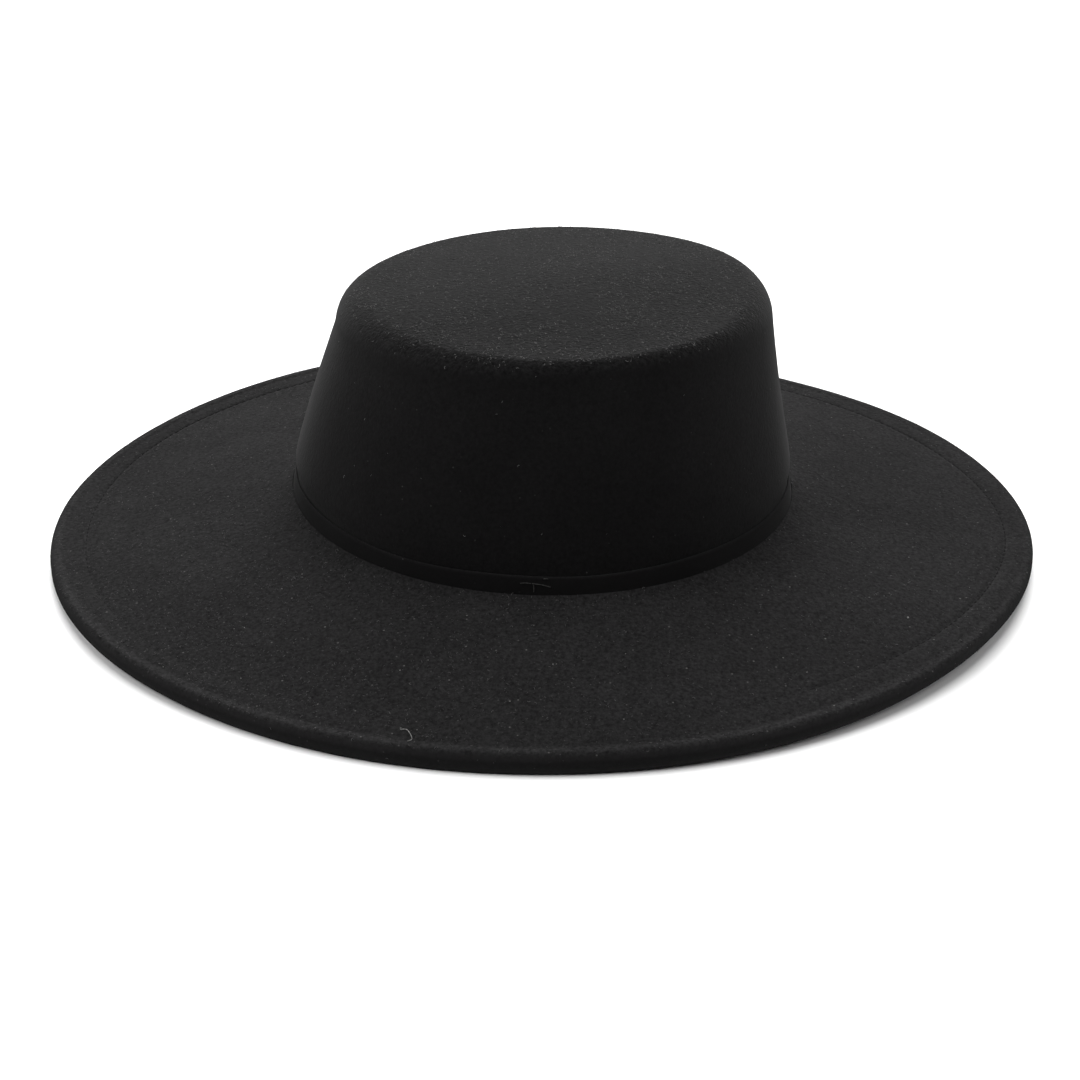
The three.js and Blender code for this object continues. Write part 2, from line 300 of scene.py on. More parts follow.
class Shape:
    """The hat's surfaces as points, worked out from the settings."""

    def __init__(self, scene):
        self.crown = scene.hat_crown
        self.strip = scene.hat_strip
        self.brim = scene.hat_brim
        self.wall_height = self.crown.height - self.crown.corner

    def foot_point(self, angle, offset):
        crown = self.crown
        return oval_point(crown.head_width + 2 * crown.felt, crown.head_length + 2 * crown.felt, offset, angle)

    def brim_height(self, angle):
        brim = self.brim
        return slanted_height(brim.foot_height, brim.foot_roll, brim.foot_pitch, self.foot_point(angle, 0))

    def side_flare(self, angle, rise=0.0):
        """How far the crown spreads to the left and the right, held in by the strip at its foot."""
        crown, strip = self.crown, self.strip
        release = smooth_step(rise * self.wall_height, strip.height, strip.height + strip.fade)
        held = strip.side_hold + (1 - strip.side_hold) * release
        return crown.side_flare * held * math.cos(angle) ** 2 * max(0.0, 1 - rise) ** crown.flare_curve

    def corner_radius(self, angle):
        crown = self.crown
        return crown.corner - crown.crease * max(0.0, math.cos(angle - crown.crease_side)) ** 2

    def tip_plane(self, spot):
        crown = self.crown
        towards = spot.x * math.cos(crown.crease_side) + spot.y * math.sin(crown.crease_side)
        sunk = crown.crease_sink * smooth_step(towards, -0.05 * crown.tip_length, 0.48 * crown.tip_length)
        return slanted_height(self.brim.foot_height + crown.height, crown.tip_roll, crown.tip_pitch, spot) - sunk

    def wall_point(self, angle, rise, offset):
        """A point on the crown's wall: rise is 0 at the foot and 1 where the rounded corner starts."""
        crown, strip = self.crown, self.strip
        release = smooth_step(rise * self.wall_height, strip.height, strip.height + strip.fade)
        push = offset - strip.pinch * (1 - release)
        foot = self.foot_point(angle, push + strip.pinch)
        tip = oval_point(crown.tip_width, crown.tip_length, push, angle)
        tip.x += crown.tip_shift
        top = self.tip_plane(tip) - crown.corner
        curve = crown.wall_curve - crown.wall_lean * math.cos(angle)
        spread = self.foot_point(angle, self.side_flare(angle, rise)) - self.foot_point(angle, 0)
        spot = foot.lerp(tip, rise ** curve) + spread
        base = self.brim_height(angle) + strip.gap
        taller = crown.corner - self.corner_radius(angle)
        return Vector((spot.x, spot.y, base + (top - base) * rise + taller * rise ** 2))

    def corner_point(self, angle, turn):
        """A point on the rounded corner of the top: turn is 0 on the wall and a quarter circle on the top."""
        crown, radius = self.crown, self.corner_radius(angle)
        spot = oval_point(crown.tip_width, crown.tip_length, -radius * (1 - math.cos(turn)), angle)
        spot.x += crown.tip_shift
        return Vector((spot.x, spot.y, self.tip_plane(spot) - radius * (1 - math.sin(turn))))

    def angle_of(self, spot):
        """The oval's own angle towards a point, nearly."""
        return math.atan2(spot.y / self.crown.head_length, spot.x / self.crown.head_width) % (2 * math.pi)

    def groove_reach(self, angle):
        brim = self.brim
        return edge_share("reach", angle) * brim.width - edge_share("hem", angle) * brim.hem

    def brim_section(self, angle):
        """The brim's section: over the top from the head opening, round the fold and back underneath."""
        brim, felt = self.brim, self.crown.felt
        inner = self.side_flare(angle)
        seat = inner + self.strip.gap + self.strip.thickness
        reach = edge_share("reach", angle) * brim.width
        base = edge_share("lift", angle) * brim.lift - brim.rest_flat
        tall = edge_share("tall", angle) * brim.edge_height
        deep = brim.edge_depth
        fold = reach - deep
        groove = self.groove_reach(angle)
        groove_depth = edge_share("groove", angle) * brim.groove_depth
        start = self.brim_height(angle)
        drop = start - base - tall
        lip_height = edge_share("ridge", angle) * brim.lip
        sag = edge_share("sag", angle) * brim.sag

        def top_at(out):
            way = max(0.0, (out - seat) / (fold - seat))
            beyond = max(0.0, 1 - (out - seat) / brim.seam_reach) if out > seat else 0.0
            seam = brim.seam_rise * beyond ** 2
            lip = lip_height * (1 - smooth_step(out, fold - brim.lip_width, fold))
            return start + seam - drop * (way + sag * way * (1 - way)) - lip * smooth_step(way, 0.5, 0.9)

        slope_end = groove - brim.groove_width
        rows = [inner - felt, inner - 0.7 * felt, inner + 0.2 * (seat - inner), seat]
        rows += [seat + brim.seam_reach * way for way in SEAM_ROWS]
        rows += [seat + (slope_end - seat) * way for way in BRIM_ROWS]
        section = [(out, top_at(out)) for out in rows]
        half = brim.groove_width / 2
        for side, dip in GROOVE:
            out = groove + side * half
            section.append((out, top_at(out) - dip * groove_depth))
        hem_start = groove + GROOVE[-1][0] * half
        for way in HEM_ROWS:
            out = hem_start + (fold - hem_start) * way
            section.append((out, top_at(out) + brim.puff * math.sin(math.pi * way)))
        power = 2 / brim.edge_square
        for step in range(FOLD_STEPS + 1):
            turn = math.radians(90 - step / FOLD_STEPS * FOLD_TURN)
            out, up = math.cos(turn), math.sin(turn)
            section.append((fold + deep * math.copysign(abs(out) ** power, out),
                            base + tall / 2 * (1 + math.copysign(abs(up) ** power, up))))
        hem_end = groove - 1.4 * brim.groove_width
        for way in (0.45, 0.75, 0.97):
            out = fold + (hem_end - fold) * way
            section.append((out, top_at(out) - 2 * felt))
        section.append((hem_end, top_at(hem_end) - 1.8 * felt))
        section.append((hem_end - 0.15 * felt, top_at(hem_end) - 1.15 * felt))
        under = [hem_end - 0.6 * felt] + [seat + (slope_end - seat) * way for way in reversed(BRIM_ROWS[:-2])]
        under += [(inner + seat) / 2, inner - 0.7 * felt, inner - felt]
        section += [(out, top_at(out) - felt) for out in under]
        section.append((inner - 1.05 * felt, top_at(inner) - felt / 2))
        return section


SEAM_ROWS = (0.02, 0.08, 0.2, 0.35, 0.55, 0.8)
BRIM_ROWS = (0.08, 0.15, 0.24, 0.34, 0.44, 0.54, 0.64, 0.73, 0.81, 0.88, 0.94, 0.98, 1.0)
GROOVE = ((-1.3, 0.0), (-0.75, 0.25), (-0.35, 0.85), (0.0, 1.0), (0.35, 0.85), (0.75, 0.2), (1.3, -0.15))
HEM_ROWS = (0.2, 0.4, 0.6, 0.8, 0.93)
FOLD_STEPS = 18
FOLD_ROW = 4 + len(SEAM_ROWS) + len(BRIM_ROWS) + len(GROOVE) + len(HEM_ROWS)
# Painted highlight along the top of the fold and painted shade along the middle of its face, by rows counted from the
# fold's start.
EDGE_PAINTED_SHADING = {-1: 0.4, 0: 1.0, 1: 0.9, 2: 0.3, 6: -0.2, 7: -0.9, 8: -0.5}
FOLD_TURN = 225


def sway(point, size, depth, seed):
    """A slow random height, for dents that a hand press leaves."""
    return depth * noise.noise(point / size + Vector((seed, 0, 0)))


def oval_of(ring):
    """The middle and the half lengths of a ring of points."""
    right, back, left, front = (ring[i * TURNS // 4] for i in range(4))
    return (right + back + left + front) / 4, (right.x - left.x) / 2, (back.y - front.y) / 2


def mark_ring(piece, row, middle, across, along):
    """Writes the picked ring's row, and each point's turn, on its points."""
    mesh = bmesh.from_edit_mesh(piece.data)
    if "row" not in mesh.verts.layers.int:
        mesh.verts.layers.int.new("row")
        mesh.verts.layers.int.new("turn")
    rows, turns = mesh.verts.layers.int["row"], mesh.verts.layers.int["turn"]
    for point in mesh.verts:
        if point.select:
            angle = math.atan2((point.co.y - middle.y) / along, (point.co.x - middle.x) / across)
            point[rows] = row
            point[turns] = round(angle / TURN_STEP) % TURNS


def pick_rows(piece, rows_wanted):
    mesh = bmesh.from_edit_mesh(piece.data)
    rows = mesh.verts.layers.int["row"]
    bpy.ops.mesh.select_all(action="DESELECT")
    for point in mesh.verts:
        point.select = point[rows] in rows_wanted
    mesh.select_flush(True)
    bmesh.update_edit_mesh(piece.data)


def raise_rings(name, rings):
    """Adds an oval ring, extrudes it row by row, and then nudges each point from its plain oval to its own place."""
    drop_selection()
    middle, across, along = oval_of(rings[0])
    bpy.ops.mesh.primitive_circle_add(vertices=TURNS, radius=1.0, fill_type="NOTHING", enter_editmode=True)
    piece = bpy.context.object
    piece.name = piece.data.name = name
    bpy.ops.transform.translate(value=middle)
    bpy.ops.transform.resize(value=(across, along, 1), center_override=middle)
    mark_ring(piece, 0, middle, across, along)
    for row, ring in enumerate(rings[1:], 1):
        next_middle, next_across, next_along = oval_of(ring)
        bpy.ops.mesh.extrude_region_move(TRANSFORM_OT_translate={"value": next_middle - middle})
        bpy.ops.transform.resize(value=(next_across / across, next_along / along, 1), center_override=next_middle)
        middle, across, along = next_middle, next_across, next_along
        mark_ring(piece, row, middle, across, along)
    mesh = bmesh.from_edit_mesh(piece.data)
    rows, turns = mesh.verts.layers.int["row"], mesh.verts.layers.int["turn"]
    for point in mesh.verts:
        point.co = rings[point[rows]][point[turns]]
    bmesh.update_edit_mesh(piece.data)
    return piece


def mark_painted_shading(piece, painted_shading_of_rows, share_at):
    """Writes the painted highlight and painted shade on a piece's points: a value for each row, times a share for
    each angle.
    """
    mesh = bmesh.from_edit_mesh(piece.data)
    wear = mesh.verts.layers.float.new("wear")
    rows, turns = mesh.verts.layers.int["row"], mesh.verts.layers.int["turn"]
    for point in mesh.verts:
        point[wear] = painted_shading_of_rows.get(point[rows], 0.0) * share_at(point[turns] * TURN_STEP)
    bmesh.update_edit_mesh(piece.data)


def face_outwards(piece):
    bpy.ops.mesh.select_all(action="SELECT")
    bpy.ops.mesh.normals_make_consistent(inside=False)
    bpy.ops.object.mode_set(mode="OBJECT")
    for layer in ("row", "turn"):
        piece.data.attributes.remove(piece.data.attributes[layer])


def apply_modifier(piece, name, kind, **values):
    modifier = piece.modifiers.new(name, kind)
    for key, value in values.items():
        setattr(modifier, key, value)
    bpy.ops.object.modifier_apply(modifier=modifier.name)


def smooth_piece(piece, levels):
    apply_modifier(piece, "Subdivision", "SUBSURF", levels=levels, render_levels=levels)
    bpy.ops.object.shade_smooth()


def dent(piece, look):
    """Presses small dents into a piece with a cloudy texture."""
    clouds = bpy.data.textures.new(piece.name + "_dents", "CLOUDS")
    clouds.noise_scale = look.dent_size
    apply_modifier(piece, "Dents", "DISPLACE", texture=clouds, texture_coords="LOCAL", strength=look.dent,
                   mid_level=0.5)


def finish_piece(piece, material, slot, *nodes):
    piece.data.materials.clear()
    piece.data.materials.append(material)
    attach(piece, "root")
    if nodes:
        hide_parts(*nodes)
    return piece


class NodeSheet:
    """Adds and joins the nodes of one material."""

    def __init__(self, name):
        self.material = bpy.data.materials.new(name)
        self.material.use_nodes = True
        self.tree = self.material.node_tree
        self.shader = self.tree.nodes["Principled BSDF"]

    def add(self, kind, inputs=None, **values):
        node = self.tree.nodes.new(kind)
        for key, value in values.items():
            setattr(node, key, value)
        for key, value in (inputs or {}).items():
            if isinstance(value, bpy.types.NodeSocket):
                self.tree.links.new(value, node.inputs[key])
            else:
                node.inputs[key].default_value = value
        return node

    def ramp(self, source, low, high, result_low=0.0, result_high=1.0):
        """Turns a value into another, result_low at low and result_high at high."""
        node = self.add("ShaderNodeMapRange", {"Value": source, "From Min": low, "From Max": high,
                                               "To Min": result_low, "To Max": result_high})
        return node.outputs["Result"]

    def times(self, first, second):
        node = self.add("ShaderNodeMath", {0: first, 1: second}, operation="MULTIPLY")
        return node.outputs["Value"]

    def plus(self, first, second):
        node = self.add("ShaderNodeMath", {0: first, 1: second}, operation="ADD")
        return node.outputs["Value"]

    def scaled(self, plain, factor):
        node = self.add("ShaderNodeVectorMath", {0: plain, "Scale": factor}, operation="SCALE")
        return node.outputs["Vector"]

    def mix(self, amount, first, second):
        node = self.add("ShaderNodeMixRGB", {"Fac": amount, "Color1": first, "Color2": second})
        return node.outputs["Color"]

    def finish(self, **constants):
        for name, value in constants.items():
            self.shader.inputs[name.replace("_", " ")].default_value = value
        return self.material


def colour4(plain, factor=1.0):
    return (*(part * factor for part in plain), 1.0)


def felt_material(name, felt, look):
    """Pressed wool: lumps, lighter and darker tufts, slow mottling, pale specks and a nap that shines at a glance."""
    sheet = NodeSheet(name)
    coordinates = sheet.add("ShaderNodeTexCoord")
    place = coordinates.outputs["Object"]
    upwards = sheet.add("ShaderNodeSeparateXYZ", {"Vector": coordinates.outputs["Normal"]}).outputs["Z"]
    raised = sheet.ramp(upwards, 0.3, 0.8, felt.wall_nap, 1.0)
    lumps = sheet.add("ShaderNodeTexNoise", {"Vector": place, "Scale": 1 / felt.grain, "Detail": 2.0,
                                             "Roughness": 0.7}).outputs["Fac"]
    tufts = sheet.add("ShaderNodeTexNoise", {"Vector": place, "W": 3.7, "Scale": 1 / felt.tuft, "Detail": 2.5,
                                             "Roughness": 0.8}, noise_dimensions="4D").outputs["Fac"]
    clouds = sheet.add("ShaderNodeTexNoise", {"Vector": place, "Scale": 1 / felt.mottle_size,
                                              "Detail": 3.0}).outputs["Fac"]
    swing = sheet.times(sheet.ramp(tufts, 0.3, 0.7, -look.contrast, look.contrast), raised)
    body = sheet.scaled(colour4(felt.tint, look.tone)[:3], sheet.plus(swing, 1.0))
    body = sheet.scaled(body, sheet.ramp(clouds, 0.3, 0.7, 1 - felt.mottle, 1 + felt.mottle))
    # Painted highlight and painted shade, read from the points, lighten or darken the body's colour.
    painted_value = sheet.add("ShaderNodeAttribute", attribute_name="wear").outputs["Fac"]
    body = sheet.scaled(body, sheet.plus(sheet.times(painted_value, felt.wear), 1.0))
    cells = sheet.add("ShaderNodeTexVoronoi", {"Vector": place, "Scale": 1 / felt.speck})
    dice = sheet.add("ShaderNodeSeparateColor", {"Color": cells.outputs["Color"]})
    chosen = sheet.ramp(dice.outputs["Red"], 1 - look.specks, 1.0)
    spots = sheet.times(sheet.ramp(cells.outputs["Distance"], felt.speck_size, 0.3 * felt.speck_size),
                        sheet.times(chosen, chosen))
    spots = sheet.times(spots, raised)
    sheet.tree.links.new(sheet.mix(spots, body, colour4(felt.speck_colour)), sheet.shader.inputs["Base Color"])
    bump = sheet.add("ShaderNodeBump", {"Height": lumps, "Strength": raised, "Distance": look.relief})
    sheet.tree.links.new(bump.outputs["Normal"], sheet.shader.inputs["Normal"])
    return sheet.finish(Roughness=0.95, Specular_IOR_Level=0.0, Sheen_Weight=look.sheen,
                        Sheen_Roughness=look.sheen_roughness)


def thread_material(name, plain, strength):
    """Spun fibre: a colour that varies a little along it, with a rough matte finish."""
    sheet = NodeSheet(name)
    place = sheet.add("ShaderNodeTexCoord").outputs["Object"]
    twist = sheet.add("ShaderNodeTexNoise", {"Vector": place, "Scale": 1400.0, "Detail": 1.0}).outputs["Fac"]
    body = sheet.mix(sheet.ramp(twist, 0.35, 0.65), colour4(plain, 1 - strength), colour4(plain, 1 + strength))
    sheet.tree.links.new(body, sheet.shader.inputs["Base Color"])
    return sheet.finish(Roughness=0.95, Specular_IOR_Level=0.0)


class HatOperator:
    bl_options = {"REGISTER", "UNDO"}


class HAT_OT_crown(HatOperator, bpy.types.Operator):
    """Model the crown: its wall, rounded corner and flat top, as one felt shell"""
    bl_idname = "hat.add_crown"
    bl_label = "Crown"

    def execute(self, context):
        shape = Shape(context.scene)
        crown, strip = shape.crown, shape.strip
        band = strip.height / shape.wall_height
        freed = (strip.height + strip.fade) / shape.wall_height
        rises = [0, 0.02, band / 2, band * 0.94, band * 1.04, (band + freed) / 2, freed]
        rises += [freed + (1 - freed) * way for way in (0.14, 0.3, 0.46, 0.62, 0.78, 0.92, 1.0)]
        angles = [turn * TURN_STEP for turn in range(TURNS)]
        rings = [[shape.wall_point(angle, rise, 0) for angle in angles] for rise in rises]
        for step in range(1, 9):
            rings.append([shape.corner_point(angle, step / 8 * math.pi / 2) for angle in angles])
        rim_middle, rim_across, rim_along = oval_of(rings[-1])
        strip_top = shape.brim.foot_height + strip.height
        top = shape.brim.foot_height + crown.height

        def dome_point(spot):
            across, along = (spot.x - rim_middle.x) / rim_across, (spot.y - rim_middle.y) / rim_along
            height = shape.tip_plane(spot) + crown.dome * max(0.0, 1 - across ** 2 - along ** 2)
            return Vector((spot.x, spot.y, height))

        for way in (0.93, 0.8):
            rings.append([dome_point(rim_middle.lerp(point, way)) for point in rings[-1 if way == 0.93 else -2]])
        for ring in rings:
            for point in ring:
                side = Vector((point.x, point.y, 0)).normalized()
                fade = smooth_step(point.z, strip_top, strip_top + crown.uneven_size / 2)
                dip = sway(point, crown.uneven_size, crown.uneven, 3) * fade
                flat = smooth_step(point.z, top - crown.corner / 2, top)
                point += side * dip * (1 - flat) + Vector((0, 0, dip * flat))
        piece = raise_rings("crown_felt", rings)
        pick_rows(piece, {len(rings) - 1})
        bpy.ops.mesh.fill_grid(span=TURNS // 4)
        mesh = bmesh.from_edit_mesh(piece.data)
        ring_points = {tuple(round(part, 6) for part in point) for point in rings[-1]}
        for point in mesh.verts:
            if point.select and tuple(round(part, 6) for part in point.co) not in ring_points:
                point.co = dome_point(point.co)
                point.co.z += sway(point.co, crown.uneven_size, crown.uneven, 3)
        bmesh.update_edit_mesh(piece.data)
        face_outwards(piece)
        apply_modifier(piece, "Felt", "SOLIDIFY", thickness=crown.felt, offset=-1.0, use_even_offset=True)
        smooth_piece(piece, 2)
        dent(piece, crown)
        finish_piece(piece, felt_material("pressed_crown_felt", context.scene.hat_felt, crown), "crown_felt", "crown")
        return {"FINISHED"}


# The strip's section from its inner foot over its top to its outer foot: up is a share of its height, out of its
# thickness and flare of its flare.
STRIP_SECTION = (
    (0.5, 0.0, 0.0), (0.97, 0.0, 0.0), (1.02, 0.3, 0.0), (1.03, 0.6, 0.0), (1.0, 0.9, 0.0), (0.9, 1.05, 0.0),
    (0.55, 1.1, 0.0), (0.25, 1.05, 0.15), (0.1, 1.0, 0.45), (0.03, 1.0, 0.9), (0.0, 0.8, 0.8), (0.0, 0.2, 0.0),
)
# How much lighter the cut edges of the strip are painted, a painted highlight where light catches them, for the rows
# of its section.
STRIP_PAINTED_HIGHLIGHT = {1: 0.7, 2: 1.4, 3: 1.4, 4: 1.0, 8: 0.4, 9: 0.8}


class HAT_OT_strip(HatOperator, bpy.types.Operator):
    """Model the narrow felt strip that stands on the brim round the crown's foot"""
    bl_idname = "hat.add_strip"
    bl_label = "Strip"

    def execute(self, context):
        shape = Shape(context.scene)
        strip = shape.strip
        rings = []
        for up, out, flare in STRIP_SECTION:
            ring = []
            for turn in range(TURNS):
                angle = turn * TURN_STEP
                rise = up * strip.height / shape.wall_height
                offset = strip.gap + out * strip.thickness + flare * strip.flare
                point = shape.wall_point(angle, rise, offset)
                point.z += up * sway(point, strip.uneven_size, strip.uneven, 9)
                ring.append(point)
            rings.append(ring)
        piece = raise_rings("crown_band_felt", rings)
        pick_rows(piece, {0, len(rings) - 1})
        bpy.ops.mesh.bridge_edge_loops()
        # Painted highlight on the strip's cut edges.
        mark_painted_shading(piece, STRIP_PAINTED_HIGHLIGHT, lambda angle: 1.0)
        face_outwards(piece)
        smooth_piece(piece, 2)
        dent(piece, strip)
        finish_piece(piece, felt_material("cut_strip_felt", context.scene.hat_felt, strip), "band_felt", "crown_band")
        return {"FINISHED"}


class HAT_OT_brim(HatOperator, bpy.types.Operator):
    """Model the brim with its stitched groove and its turned-under edge"""
    bl_idname = "hat.add_brim"
    bl_label = "Brim"

    def execute(self, context):
        shape = Shape(context.scene)
        brim = shape.brim
        sections = [shape.brim_section(turn * TURN_STEP) for turn in range(TURNS)]
        rings = []
        for row in range(len(sections[0])):
            ring = []
            for turn, section in enumerate(sections):
                out, height = section[row]
                spot = shape.foot_point(turn * TURN_STEP, out)
                way = out / brim.width
                free = smooth_step(way, 0.06, 0.3) * (1 - smooth_step(way, 0.6, 0.84))
                height += free * sway(Vector((spot.x, spot.y, 0)), brim.uneven_size, brim.uneven, 17)
                ring.append(Vector((spot.x, spot.y, max(0.0, height))))
            rings.append(ring)
        piece = raise_rings("brim_felt", rings)
        pick_rows(piece, {0, len(rings) - 1})
        bpy.ops.mesh.bridge_edge_loops()
        # Painted highlight and painted shade on the fold, scaled round the hat by the edge table's ridge share.
        mark_painted_shading(piece, {FOLD_ROW + step: painted_value for step, painted_value in EDGE_PAINTED_SHADING.items()},
                  lambda angle: edge_share("ridge", angle))
        face_outwards(piece)
        smooth_piece(piece, 2)
        dent(piece, brim)
        for point in piece.data.vertices:
            point.co.z = max(0.0, point.co.z)
        finish_piece(piece, felt_material("pressed_brim_felt", context.scene.hat_felt, brim), "brim_felt", "brim")
        return {"FINISHED"}


def surface_place(spot, normal, turn, size=1.0):
    """A place on a surface, with Z along its normal."""
    facing = normal.to_track_quat("Z", "Y").to_matrix().to_4x4()
    return Matrix.Translation(spot) @ facing @ Matrix.Rotation(turn, 4, "Z") @ Matrix.Scale(size, 4)


def place_copies(template, places):
    """Sets a copy of a small modelled piece at each place and joins the copies into the template's own mesh."""
    joined = bmesh.new()
    for place in places:
        copy = template.data.copy()
        copy.transform(place)
        joined.from_mesh(copy)
        bpy.data.meshes.remove(copy)
    joined.to_mesh(template.data)
    joined.free()
    template.data.shade_smooth()
    return template


def spread_places(piece, count, dice, density, settings):
    """Random places on a piece's faces, crowded where density is high."""
    faces = piece.data.polygons
    points = piece.data.vertices
    chances = [face.area * density(face) * (0.35 + max(0.0, 1.3 * noise.noise(face.center / settings.patch) + 0.6))
               if face.center.z > CLEAR_OF_TABLE else 0.0 for face in faces]
    places = []
    for face in dice.choices(faces, weights=chances, k=count):
        near, right, far, left = (points[index].co for index in face.vertices)
        spot = near.lerp(right, dice.random()).lerp(left.lerp(far, dice.random()), dice.random())
        lean = Vector([dice.gauss(0, settings.lean) for _ in range(3)])
        places.append(surface_place(spot, (face.normal + lean).normalized(), dice.uniform(0, 2 * math.pi),
                                    dice.uniform(settings.smallest, settings.largest)))
    return places


class HAT_OT_nap(HatOperator, bpy.types.Operator):
    """Scatter loose wool curls over the crown and the brim"""
    bl_idname = "hat.add_nap"
    bl_label = "Loose wool curls"

    def execute(self, context):
        nap = context.scene.hat_nap
        dice = random.Random(nap.seed)
        # The crown's curls carry a painted sheen in their lighter colour.
        for part, count, density, wool in (("crown", nap.curls_on_crown, crown_density, nap.crown_colour_with_painted_sheen),
                                           ("brim", nap.curls_on_brim, brim_density, nap.brim_colour)):
            curl = self.model_curl(nap, part + "_nap")
            places = spread_places(bpy.data.objects[part + "_felt"], count, dice, density, nap)
            finish_piece(place_copies(curl, places), thread_material(part + "_wool", wool, 0.5), part + "_felt")
        return {"FINISHED"}

    def model_curl(self, nap, name):
        """A three-sided fibre, spun part of the way round."""
        drop_selection()
        bpy.ops.mesh.primitive_circle_add(vertices=3, radius=nap.thickness / 2, fill_type="NGON", enter_editmode=True)
        curl = bpy.context.object
        curl.name = curl.data.name = name
        bpy.ops.transform.rotate(value=math.pi / 2, orient_axis="X", center_override=(0, 0, 0))
        bpy.ops.transform.translate(value=(nap.radius, 0, 0))
        bpy.ops.mesh.spin(steps=3, angle=nap.arc, center=(0, 0, 0), axis=(0, 0, 1))
        bpy.ops.mesh.select_all(action="SELECT")
        bpy.ops.mesh.normals_make_consistent(inside=False)
        bpy.ops.object.mode_set(mode="OBJECT")
        return curl


CLEAR_OF_TABLE = 2 * MM


def crown_density(face):
    """Most curls stand on the flat top, few on the wall and none inside."""
    outside = face.normal.dot(Vector((face.center.x, face.center.y, 0)).normalized()) > -0.2
    return 0.002 + (max(0.0, face.normal.z) ** 5 if outside else 0.0)


def brim_density(face):
    """Most curls lie on the front and the left, and few on the edge and underneath."""
    if face.normal.z < 0.6:
        return 0.05
    front_share = 1.0 - 0.65 * smooth_step(face.center.y, -0.12, 0.08)
    left_share = 1.6 - 1.1 * smooth_step(face.center.x, -0.14, 0.06)
    return front_share * left_share


def even_places(route, pitch):
    """Splits a closed route into even steps: each step's point and direction."""
    legs = [(start, end - start) for start, end in zip(route, route[1:] + route[:1])]
    whole = sum(leg.length for _, leg in legs)
    count = round(whole / pitch)
    step = whole / count
    passed, places = 0.0, []
    for start, leg in legs:
        while len(places) < count and len(places) * step <= passed + leg.length:
            places.append((start + leg * ((len(places) * step - passed) / leg.length), leg.normalized()))
        passed += leg.length
    return places


def surface_of(name):
    return BVHTree.FromObject(bpy.data.objects[name], bpy.context.evaluated_depsgraph_get())


DOWN = Vector((0, 0, -1))
ABOVE = 0.2


class HAT_OT_stitches(HatOperator, bpy.types.Operator):
    """Sew a row of stitches into the brim's groove"""
    bl_idname = "hat.add_stitches"
    bl_label = "Hem stitches"

    def execute(self, context):
        stitches = context.scene.hat_stitches
        shape = Shape(context.scene)
        surface = surface_of("brim_felt")
        angles = [turn * TURN_STEP / 10 for turn in range(TURNS * 10)]
        route = [shape.foot_point(angle, shape.groove_reach(angle)).to_3d() for angle in angles]
        places = []
        for spot, way in even_places(route, stitches.pitch):
            sink = stitches.sink - stitches.rise * edge_share("groove", shape.angle_of(spot))
            seat, normal, _, _ = surface.ray_cast(spot + Vector((0, 0, ABOVE)), DOWN)
            side = normal.cross(way).normalized()
            frame_there = Matrix((side.cross(normal), side, normal)).transposed().to_4x4()
            lift = normal * stitches.thickness * (0.5 - sink)
            places.append(Matrix.Translation(seat + lift) @ frame_there)
        drop_selection()
        bpy.ops.mesh.primitive_uv_sphere_add(segments=6, ring_count=5, radius=0.5, enter_editmode=True)
        stitch = bpy.context.object
        stitch.name = stitch.data.name = "hem_stitches"
        bpy.ops.transform.rotate(value=math.pi / 2, orient_axis="Y", center_override=(0, 0, 0))
        bpy.ops.transform.resize(value=(stitches.length, stitches.thickness, stitches.thickness),
                                 center_override=(0, 0, 0))
        bpy.ops.object.mode_set(mode="OBJECT")
        place_copies(stitch, places)
        finish_piece(stitch, thread_material("sewing_thread", stitches.colour, 0.3), "brim_felt")
        return {"FINISHED"}


# The tack thread's strokes on the front of the strip, in millimetres to the right of the middle and above the table.
TACK_STROKES = (
    {"start": (-7.1, 29.6), "bend": (-5.4, 29.9), "end": (-3.6, 29.6)},
    {"start": (-3.3, 29.6), "bend": (-0.4, 29.5), "end": (2.7, 28.5)},
    {"start": (-2.8, 29.3), "bend": (-2.6, 28.2), "end": (-2.7, 26.9)},
    {"start": (0.4, 31.1), "bend": (1.1, 31.2), "end": (1.9, 31.1)},
)
# The curled bit of lint on the brim's front, in millimetres to the right of the middle and behind it.
LINT_ROUTE = ((-43.4, -161.2), (-41.5, -160.7), (-40.4, -162.8), (-39.7, -164.7), (-39.5, -165.9), (-40.0, -166.7),
              (-40.8, -167.3))
# Pale flecks on the brim: millimetres to the right of the middle and behind it, and the size.
FLECKS = (
    {"across": -38.2, "along": -161.6, "size": 0.35}, {"across": -35.8, "along": -130.4, "size": 0.3},
    {"across": 3.5, "along": -133.3, "size": 0.4}, {"across": 4.6, "along": -133.2, "size": 0.35},
    {"across": 26.4, "along": -127.4, "size": 0.35}, {"across": -9.8, "along": -150.2, "size": 0.5},
    {"across": 25.3, "along": -157.5, "size": 0.35}, {"across": -44.5, "along": -134.4, "size": 0.35},
    {"across": 119.7, "along": -89.7, "size": 0.7}, {"across": -85.4, "along": -83.0, "size": 0.35},
    {"across": -99.6, "along": -101.8, "size": 0.35}, {"across": -96.2, "along": -102.1, "size": 0.35},
    {"across": -121.0, "along": -117.7, "size": 0.35}, {"across": -95.1, "along": -128.6, "size": 0.35},
)


def spin_thread(name, route, thickness):
    """A thread with round ends along a route, made a mesh."""
    drop_selection()
    bpy.ops.curve.primitive_nurbs_path_add()
    thread = bpy.context.object
    thread.name = thread.data.name = name
    thread.data.splines.clear()
    line = thread.data.splines.new("NURBS")
    line.points.add(len(route) - 1)
    for knot, spot in zip(line.points, route):
        knot.co = (*spot, 1.0)
    line.order_u = 3
    line.use_endpoint_u = True
    thread.data.bevel_depth = thickness / 2
    thread.data.bevel_resolution = 1
    thread.data.use_fill_caps = True
    bpy.ops.object.convert(target="MESH")
    bpy.ops.object.shade_smooth()
    return thread


